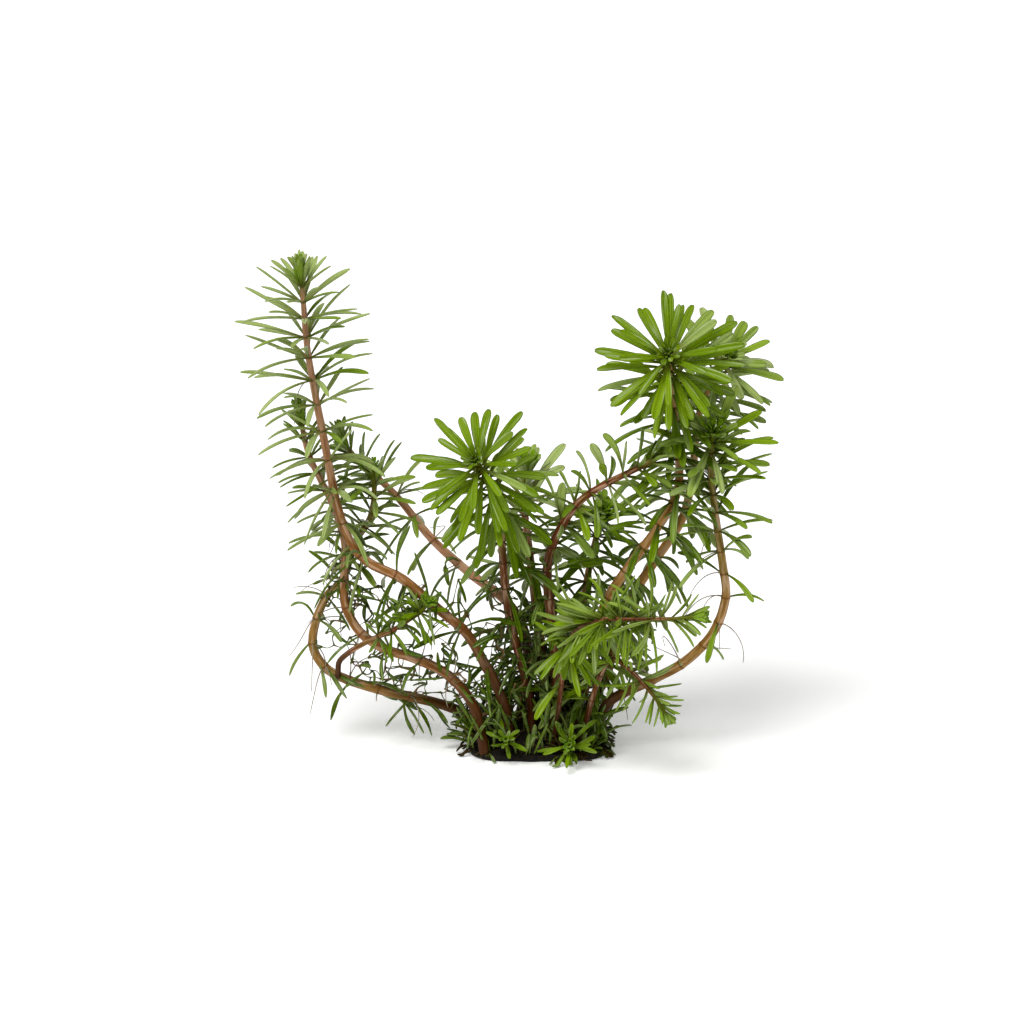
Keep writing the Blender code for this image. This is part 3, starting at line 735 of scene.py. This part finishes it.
    def rootlet_line(self, start, heading):
        """Points of a rootlet that sets out in a direction, falls and curls to one side."""
        chance = self.chance
        step = chance.uniform(*ROOTLET_LENGTHS) / ROOTLET_STEPS
        fall = chance.uniform(*ROOTLET_FALLS)
        curl = Quaternion(scatter(chance, 1).normalized(), chance.gauss(0, 0.3))
        points = [start]
        for _ in range(ROOTLET_STEPS):
            heading = (curl @ heading + DOWN * fall).normalized()
            points.append(points[-1] + heading * step)
        return points

    def finish(self, green, barks):
        """Makes two pieces, stem and leaves, that stand for the shoot's solid."""
        name = self.shoot.name
        self.stem.finish(f"{name}_stem", barks[self.shoot.bark], "stem", name)
        self.leaves.finish(f"{name}_leaves", green, "leaf", name)


def crown_point(chance, low, high):
    """A place on the crown's top within shares of its reach, and its angle."""
    angle = chance.uniform(0, tau)
    x, y = crown_reach(angle)
    share = sqrt(chance.uniform(low * low, high * high))
    return Vector((x * share, y * share, crown_height(x * share, y * share))), angle


def make_crown(material):
    """The matted crown: a flat cut below and a lumpy mound above."""
    form = Form("pale")
    segments = 96
    levels = [(0.955, 0.0), (0.985, 0.25), (1.0, 0.9)]
    levels += [(share, None) for share in (0.985, 0.93, 0.84, 0.72, 0.6, 0.48, 0.36, 0.24, 0.12)]
    rings = []
    for share, height in levels:
        ring = []
        for index in range(segments):
            angle = tau * index / segments
            x, y = crown_reach(angle)
            rough = 1 + 0.035 * noise.noise(Vector((cos(angle) * 4, sin(angle) * 4, share * 3)))
            x, y = x * share * rough, y * share * rough
            bump = noise.noise(Vector((x, y, 0)) * 0.45) * 0.8 + noise.noise(Vector((x, y, 3)) * 1.3) * 0.35
            z = max(1.1, crown_height(x, y) + bump) if height is None else height
            ring.append(form.add(Vector((x, y, z)), pale=0.0))
        rings.append(ring)
    form.loft(rings)
    form.finish("root_crown_mat", material, "crown", "root_crown")


def root_line(place, heading, chance):
    """Points of a root that winds over the crown and down its rim."""
    points = [place]
    for _ in range(chance.randint(3, 5)):
        heading += chance.gauss(0, 0.5)
        place = place + Vector((cos(heading), sin(heading), 0)) * chance.uniform(1.6, 2.8)
        edge = (abs(place.x / CROWN_HALF_WIDTH) ** CROWN_SQUARENESS
                + abs(place.y / CROWN_HALF_DEPTH) ** CROWN_SQUARENESS)
        lift = chance.uniform(0.0, 0.7)
        place.z = crown_height(place.x, place.y) + lift if edge < 0.95 else place.z * 0.45
        if edge > 1.25:
            break
        points.append(place.copy())
    return points


def make_roots(material):
    """Roots that wind over the crown, some of them pale."""
    chance = random.Random("roots")
    form = Form("pale")
    for _ in range(CROWN_ROOTS):
        start, angle = crown_point(chance, 0.1, 0.98)
        heading = angle + chance.gauss(0, 0.9)
        pale = chance.random() ** 2
        radius = chance.uniform(*CROWN_ROOT_RADII)
        points = root_line(start + UP * chance.uniform(-0.2, 0.5), heading, chance)
        if len(points) > 2:
            form.tube(Path(points, 4), (radius, radius * 0.5), 6, 4 * len(points), pale=pale)
    form.finish("crown_roots", material, "crown", "root_crown")


def over_cut(point):
    """Whether a place is at the front rim, where the cut's edge stays in sight."""
    return point.y < -0.55 * CROWN_HALF_DEPTH and CUT_SEEN[0] < point.x < CUT_SEEN[1]


def scatter_leaves(form, chance, count, reach, rise, fall, length, width, dead_share):
    """Old and dead leaves that grow from the crown's top, rising first and falling later."""
    for _ in range(count):
        root, angle = crown_point(chance, *reach)
        if over_cut(root) and rise[0] < 1:
            continue
        heading = angle + chance.gauss(0, 0.8)
        outward = Vector((cos(heading), sin(heading), 0))
        first = outward + UP * chance.uniform(*rise)
        last = outward + UP * chance.uniform(*fall)
        dead = chance.random() < dead_share
        age = chance.uniform(1.4, 2.0) if dead else chance.uniform(0.75, 1.2)
        Leaf(root, first.normalized(), last.normalized(), outward.cross(UP),
             length=chance.uniform(*length), width=chance.uniform(*width), blunt=0.5, age=age,
             tone=chance.uniform(-1, 1), pale=chance.gauss(0, 0.15), twist=chance.gauss(0, 0.6)).draw(form)


def make_foot_leaves(green):
    """Leaves that lie over the crown, or stand up between the stems."""
    chance = random.Random("foot leaves")
    form = Form(*LEAF_NUMBERS)
    for leaves in CROWN_LEAVES:
        scatter_leaves(form, chance, **leaves)
    form.finish("foot_leaves", green, "leaf", "root_crown")


def net_knots(anchors, chance):
    """Places between two stems where strands meet, spread evenly."""
    knots = []
    for _ in range(NET_TRIES):
        (start, owner), (end, other_owner) = chance.choice(anchors), chance.choice(anchors)
        if owner == other_owner or (end - start).length > NET_SPAN:
            continue
        knot = start.lerp(end, chance.uniform(0.1, 0.9)) + scatter(chance, NET_JITTER)
        if knot.z > 2 and all((knot - other).length > NET_SPACING for other in knots):
            knots.append(knot)
    return knots


def net_links(knots, places):
    """The ends of all strands: each knot is joined to the nearest places."""
    links = set()
    for index, knot in enumerate(knots):
        others = sorted(range(len(places)), key=lambda other: (places[other] - knot).length)
        for other in others[1:NET_LINKS + 1]:
            if (places[other] - knot).length < NET_REACH:
                links.add((min(index, other), max(index, other)))
    return sorted(links)


def net_anchors(plants):
    """Places a millimetre apart along the old stems, with the stems' names."""
    return [(plant.path.at(step + LOOSE_FROM)[0], plant.shoot.name)
            for plant in plants for step in range(int(plant.shoot.netted * plant.path.length))]


def net_leaf(knot, chance):
    """A narrow old leaf that is caught at a knot."""
    first = scatter(chance, 1).normalized()
    last = (first + scatter(chance, 0.4)).normalized()
    return Leaf(knot, first, last, first.orthogonal().normalized(), length=chance.uniform(4, 9),
                width=chance.uniform(0.7, 1.4), blunt=0.2, age=chance.uniform(0.8, 1.2),
                tone=chance.uniform(-0.5, 1), pale=0.0, twist=chance.gauss(0, 0.8))


def make_net(plants, material, green):
    """Thin dark roots between the old stems, with narrow leaves caught in them."""
    chance = random.Random("net")
    roots = Form()
    leaves = Form(*LEAF_NUMBERS)
    anchors = net_anchors(plants)
    knots = net_knots(anchors, chance)
    places = knots + [point for point, _ in anchors]
    for start, end in net_links(knots, places):
        middle = places[start].lerp(places[end], 0.5) + scatter(chance, NET_JITTER * 0.6)
        thick = chance.uniform(*STRAND_RADII)
        roots.tube(Path([places[start], middle, places[end]], 4), (thick, thick), 5, 6, STRAND_WAIST)
    for knot in knots:
        if chance.random() < NET_LEAVES:
            net_leaf(knot, chance).draw(leaves)
    roots.finish("root_net", material, "stem")
    leaves.finish("net_leaves", green, "leaf")


YOUNG_GREEN = (0.19, 0.31, 0.0)
# Old leaves low on the stem: their own darker green, and partly painted shade deep in the bunch.
OLD_AND_SHADED_GREEN = (0.017, 0.04, 0.001)
BUD_GREEN = (0.2, 0.38, 0.0)
DEEP_GREEN = (0.035, 0.1, 0.0)
MOTTLED_GREEN = (0.2, 0.3, 0.0)
# Painted sheen and glow, laid over the paler leaves.
PALE_SHEEN_GREEN = (0.38, 0.46, 0.17)
LINE_GREEN = (0.36, 0.46, 0.04)
# Painted sheen: the pale highlight of light off the leaves.
SHEEN_GREEN = (0.5, 0.58, 0.32)
RIB_GREEN = (0.27, 0.35, 0.03)
RIM_GREEN = (0.03, 0.07, 0.001)
TIP_GREEN = (0.03, 0.07, 0.002)
# Leaf feet: partly the stalks' own olive and partly painted shade where the leaves meet; paler feet on pale
# leaves.
OLIVE = (0.055, 0.065, 0.002)
PALE_OLIVE = (0.19, 0.19, 0.03)
UNDER_GREEN = (0.17, 0.24, 0.06)
DEAD_BROWN = (0.028, 0.014, 0.003)
LEAF_LINES = 14.0

BARKS = {
    "brown": ((0.27, 0.115, 0.03), (0.5, 0.25, 0.14), (0.12, 0.04, 0.01)),
    "amber": ((0.48, 0.24, 0.06), (0.4, 0.22, 0.07), (0.16, 0.06, 0.012)),
    "pink": ((0.64, 0.31, 0.18), (0.5, 0.24, 0.12), (0.25, 0.09, 0.035)),
    "tan": ((0.28, 0.15, 0.035), (0.22, 0.19, 0.03), (0.13, 0.05, 0.008)),
    "red": ((0.15, 0.04, 0.01), (0.13, 0.025, 0.004), (0.08, 0.016, 0.003)),
}
MOSSY_BARK = (0.15, 0.12, 0.015)
# Streaks along the bark: partly its own grain, partly painted highlights and painted shade.
PALE_STREAK_AND_HIGHLIGHT = (0.62, 0.4, 0.25)
DARK_STREAK_AND_SHADE = (0.11, 0.035, 0.006)
DARK_LINE = (0.07, 0.025, 0.005)
# Dark at the stems' feet: partly old bark, partly painted shade low in the bunch.
FOOT_BARK_AND_SHADE = (0.05, 0.012, 0.001)
TIP_BARK = (0.09, 0.11, 0.003)
# Near-black: partly the humus's own brown, partly painted shade under the leaves.
HUMUS_AND_SHADE = (0.003, 0.002, 0.001)
HUMUS_CLUMP = (0.016, 0.01, 0.003)
STRAW = (0.1, 0.06, 0.022)
ROOTLET_COLOURS = ((0.3, 0.25, 0.18), (0.13, 0.11, 0.08))
NET_COLOURS = ((0.065, 0.105, 0.012), (0.15, 0.085, 0.03))
FLOOR_COLOURS = ((0.95, 0.95, 0.945), (0.97, 0.97, 0.965))
GLOW_DEPTH = 0.8 * MM


class Shader:
    """A material's nodes, with short names."""

    def __init__(self, name):
        self.material = bpy.data.materials.new(name)
        self.material.use_nodes = True
        self.tree = self.material.node_tree
        self.surface = self.tree.nodes["Principled BSDF"]

    def plug(self, value, socket):
        """Links a socket, or sets a constant."""
        if isinstance(value, bpy.types.NodeSocket):
            self.tree.links.new(value, socket)
        else:
            socket.default_value = value

    def fill(self, node, **values):
        """Plugs values into the inputs that they name, with _ for each space."""
        for name, value in values.items():
            self.plug(value, node.inputs[name.replace("_", " ")])
        return node

    def node(self, kind, **values):
        """A new node with some of its inputs plugged."""
        return self.fill(self.tree.nodes.new(f"ShaderNode{kind}"), **values)

    def number(self, name):
        """A number that the mesh holds at each point."""
        node = self.node("Attribute")
        node.attribute_name = name
        return node.outputs["Fac"]

    def math(self, operation, a, b=0.0):
        """Arithmetic on two numbers."""
        node = self.node("Math")
        node.operation = operation
        self.plug(a, node.inputs[0])
        self.plug(b, node.inputs[1])
        return node.outputs[0]

    def times(self, a, b):
        """One number times another."""
        return self.math("MULTIPLY", a, b)

    def ramp(self, value, low, high, start=0.0, end=1.0):
        """A smooth step from start to end while a value goes from low to high."""
        node = self.node("MapRange", Value=value, From_Min=low, From_Max=high, To_Min=start, To_Max=end)
        node.interpolation_type = "SMOOTHSTEP"
        return node.outputs["Result"]

    def noise(self, scale, detail, place=None):
        """Cloudy noise, round a half, over the object's own places or others."""
        place = place or self.node("TexCoord").outputs["Object"]
        return self.node("TexNoise", Scale=scale, Detail=detail, Vector=place).outputs["Fac"]

    def place(self, x, y, z):
        """Three numbers as one place."""
        return self.node("CombineXYZ", X=x, Y=y, Z=z).outputs[0]

    def blend(self, share, a, b):
        """Two colours mixed by a share."""
        node = self.node("Mix")
        node.data_type = "RGBA"
        start, end = [socket for socket in node.inputs if socket.type == "RGBA"]
        for value, socket in ((share, node.inputs["Factor"]), (a, start), (b, end)):
            self.plug((*value, 1.0) if isinstance(value, tuple) else value, socket)
        return next(socket for socket in node.outputs if socket.type == "RGBA")

    def layer(self, colour, over, value, low, high, most=1.0):
        """A colour with another laid over it as a value goes from low to high."""
        return self.blend(self.ramp(value, low, high, 0, most), colour, over)

    def layers(self, colour, *layers):
        """A colour with several layers over it in turn."""
        for layer in layers:
            colour = self.layer(colour, *layer)
        return colour

    def bump(self, height, distance, strength, **below):
        """A bump from a height, on top of another one, if any."""
        node = self.node("Bump", Strength=strength, Distance=distance, Height=height, **below)
        return node.outputs["Normal"]

    def finish(self, **values):
        """Plugs values into the surface; the material is returned."""
        self.fill(self.surface, **values)
        return self.material


def leaf_green(shader, age, tone, pale):
    """A leaf's green, which goes by its age, tone and paleness: darker when old, partly as painted shade
    low in the bunch, deeper by tone and a shoot's darkness, and paler with painted sheen and glow.
    """
    green = shader.layers(YOUNG_GREEN, (OLD_AND_SHADED_GREEN, age, 0.05, 1.1), (BUD_GREEN, age, 0, -0.4))
    return shader.layers(
        green,
        (shader.blend(0.7, green, DEEP_GREEN), tone, -1, 1, 0.75),
        (MOTTLED_GREEN, shader.noise(900, 4), 0.35, 0.75, 0.4),
        (PALE_SHEEN_GREEN, pale, 0, 1, 0.85))


def leaf_sheen(shader, along, across, tone, lines):
    """The share of a leaf's painted sheen, a pale highlight in streaky clouds."""
    clouds = shader.noise(1.4, 2, shader.place(across, shader.times(along, 0.8), shader.times(tone, 9.0)))
    sheen = shader.times(shader.ramp(along, 0.15, 0.5), shader.ramp(clouds, 0.52, 0.68, 0, 0.6))
    return shader.times(sheen, shader.ramp(lines, -1, 1, 0.45))


def leaf_foot(shader, along, age):
    """The share of a leaf's olive foot, which is strongest on young leaves: partly the stalk's own olive,
    partly painted shade where the leaves meet at the node.
    """
    foot = shader.times(shader.ramp(along, 0.45, 0.02), shader.ramp(age, 0.9, 0.3, 0.35, 0.9))
    return shader.times(foot, shader.ramp(age, -0.4, 0, 0.15))


def leaf_material():
    """Glossy green with lines, painted sheen, a pale rib, a dark rim, an olive foot that is partly painted
    shade, and a pale underside.
    """
    shader = Shader("rotala_leaf")
    along, across, under, age, tone, pale = [shader.number(number) for number in LEAF_NUMBERS]
    lines = shader.math("SINE", shader.times(across, LEAF_LINES))
    away = shader.math("ABSOLUTE", across)
    green = shader.layer(leaf_green(shader, age, tone, pale), LINE_GREEN, lines, 0, 1, 0.14)
    # Painted sheen: pale highlight streaks laid over the green.
    green = shader.blend(leaf_sheen(shader, along, across, tone, lines), green, SHEEN_GREEN)
    green = shader.layers(green, (RIB_GREEN, away, 0.2, 0, 0.4), (RIM_GREEN, away, 0.7, 1, 0.3),
                          (TIP_GREEN, along, 0.95, 1, 0.35))
    stalk_and_shade = shader.layer(OLIVE, PALE_OLIVE, pale, 0.2, 0.9)
    green = shader.blend(leaf_foot(shader, along, age), green, stalk_and_shade)
    green = shader.blend(shader.times(under, 0.35), green, UNDER_GREEN)
    green = shader.layer(green, DEAD_BROWN, age, 1.2, 1.8)
    normal = shader.bump(lines, 0.05 * MM, 0.5)
    normal = shader.bump(shader.noise(5000, 2), 0.04 * MM, 0.3, Normal=normal)
    roughness = shader.ramp(shader.noise(1500, 3), 0.3, 0.7, 0.22, 0.34)
    return shader.finish(
        Base_Color=green, Roughness=roughness, Normal=normal, Specular_IOR_Level=0.12,
        Specular_Tint=(0.85, 1, 0.45, 1), Subsurface_Weight=0.06, Subsurface_Radius=(0.6, 1, 0.05),
        Subsurface_Scale=GLOW_DEPTH)


def bark_material(name):
    """Streaked bark, the streaks partly grain and partly painted highlights and shade, dark at the foot
    partly as painted shade, dark in the nodes' rings, and green at the tip.
    """
    middle, young, ring_colour = BARKS[name]
    shader = Shader(f"rotala_bark_{name}")
    rise, ring, east, north, far, to_tip = [shader.number(number) for number in STEM_NUMBERS]
    streaks = shader.noise(1.6, 3, shader.place(east, north, shader.times(far, 0.1)))
    lines = shader.noise(4.5, 3, shader.place(north, east, shader.times(far, 0.06)))
    colour = shader.layers(
        middle,
        (young, rise, 0.5, 0.8),
        (MOSSY_BARK, shader.noise(110, 2), 0.5, 0.72, 0.5),
        (PALE_STREAK_AND_HIGHLIGHT, streaks, 0.48, 0.66, 0.65),
        (DARK_STREAK_AND_SHADE, streaks, 0.48, 0.34, 0.5),
        (DARK_LINE, lines, 0.55, 0.7, 0.35),
        (FOOT_BARK_AND_SHADE, rise, 0.36, 0.06, 0.93),
        (ring_colour, ring, 0.3, 1, 0.8),
        (TIP_BARK, to_tip, 12, 4))
    normal = shader.bump(lines, 0.1 * MM, 0.6)
    normal = shader.bump(shader.noise(2500, 4), 0.05 * MM, 0.4, Normal=normal)
    roughness = shader.ramp(streaks, 0.3, 0.7, 0.3, 0.45)
    return shader.finish(
        Base_Color=colour, Roughness=roughness, Normal=normal, Specular_IOR_Level=0.14,
        Specular_Tint=(1, 0.85, 0.65, 1), Subsurface_Weight=0.04, Subsurface_Radius=(1, 0.4, 0.1),
        Subsurface_Scale=GLOW_DEPTH)


def crown_material():
    """Near-black brown, partly humus and partly painted shade under the bunch, with roots from dark brown
    to straw.
    """
    shader = Shader("root_crown")
    # On the roots, paleness is their own straw colour.
    colour = shader.layers(HUMUS_AND_SHADE, (HUMUS_CLUMP, shader.noise(900, 5), 0.4, 0.7),
                           (STRAW, shader.number("pale"), 0.25, 1, 0.85))
    normal = shader.bump(shader.noise(1400, 5), 0.4 * MM, 0.8)
    return shader.finish(Base_Color=colour, Roughness=0.75, Normal=normal, Specular_IOR_Level=0.2)


def root_material(name, light, dark):
    """Thin roots, in two colours that change along them."""
    shader = Shader(name)
    colour = shader.layer(light, dark, shader.noise(400, 2), 0.47, 0.62)
    return shader.finish(Base_Color=colour, Roughness=0.6, Specular_IOR_Level=0.2)


def add_facing(name, data, direction):
    """A new object that faces along a direction."""
    thing = add_object(name, data)
    thing.rotation_mode = "QUATERNION"
    thing.rotation_quaternion = direction.to_track_quat("-Z", "Y")
    return thing


def add_camera():
    """A long lens at the photograph's height and scale."""
    across = (PHOTO_SIZE / 2 - CUT_PIXEL[0]) / PIXELS_PER_MM
    up = (CUT_PIXEL[1] - PHOTO_SIZE / 2) / PIXELS_PER_MM
    aim = Vector((across, 0, up / cos(VIEW_TILT)))
    data = bpy.data.cameras.new("camera")
    data.sensor_width = SENSOR
    data.lens = SENSOR * VIEW_DISTANCE * PIXELS_PER_MM / PHOTO_SIZE
    data.clip_start = 0.05
    data.clip_end = 20
    camera = add_facing("camera", data, -TO_VIEWER)
    camera.location = (aim + TO_VIEWER * VIEW_DISTANCE) * MM
    bpy.context.scene.camera = camera


def add_sun(name, place, strength, softness):
    """A soft light from far away."""
    data = bpy.data.lights.new(name, "SUN")
    data.energy = strength
    data.angle = radians(softness)
    add_facing(name, data, -Vector(place))


def add_studio():
    """A pale floor that glows a little, as painted light that pales the shadows, in soft light from above
    and a dim light all round.
    """
    bpy.ops.mesh.primitive_plane_add(size=12)
    floor = bpy.context.active_object
    floor.name = "floor"
    shader = Shader("floor")
    colour = shader.blend(shader.noise(3, 2), *FLOOR_COLOURS)
    # The floor's glow is painted light: it pales the plant's shadow and lights it from below.
    floor.data.materials.append(shader.finish(
        Base_Color=colour, Roughness=0.9, Specular_IOR_Level=0.1, Emission_Color=(1, 1, 1, 1),
        Emission_Strength=0.22))
    world = bpy.data.worlds.new("studio")
    world.use_nodes = True
    background = world.node_tree.nodes["Background"]
    background.inputs["Color"].default_value = (1, 1, 1, 1)
    background.inputs["Strength"].default_value = 0.24
    bpy.context.scene.world = world
    add_sun("key", (-0.35, -0.55, 1.0), 2.9, 38)
    add_sun("fill", (0.7, 0.2, 0.9), 0.5, 60)
    bpy.context.scene.view_settings.view_transform = "Standard"


def main():
    """Draws the crown, then all stems, then the leaves from the tips down."""
    add_camera()
    add_studio()
    green = leaf_material()
    brown = crown_material()
    barks = {name: bark_material(name) for name in BARKS}
    make_crown(brown)
    make_roots(brown)
    room = Room()
    plants = [Plant(shoot) for shoot in SHOOTS]
    rootlets = Form()
    for plant in plants:
        plant.draw_stem(room)
        plant.grow_bud()
        plant.grow_rootlets(rootlets)
    for level in range(max(len(plant.whorls) for plant in plants)):
        for plant in plants:
            if level < len(plant.whorls):
                plant.grow_whorl(plant.whorls[level], room)
    for plant in plants:
        plant.grow_loose(room)
        plant.finish(green, barks)
    rootlets.finish("rootlets", root_material("rootlet", *ROOTLET_COLOURS), "stem")
    make_net(plants, root_material("net_root", *NET_COLOURS), green)
    make_foot_leaves(green)


main()
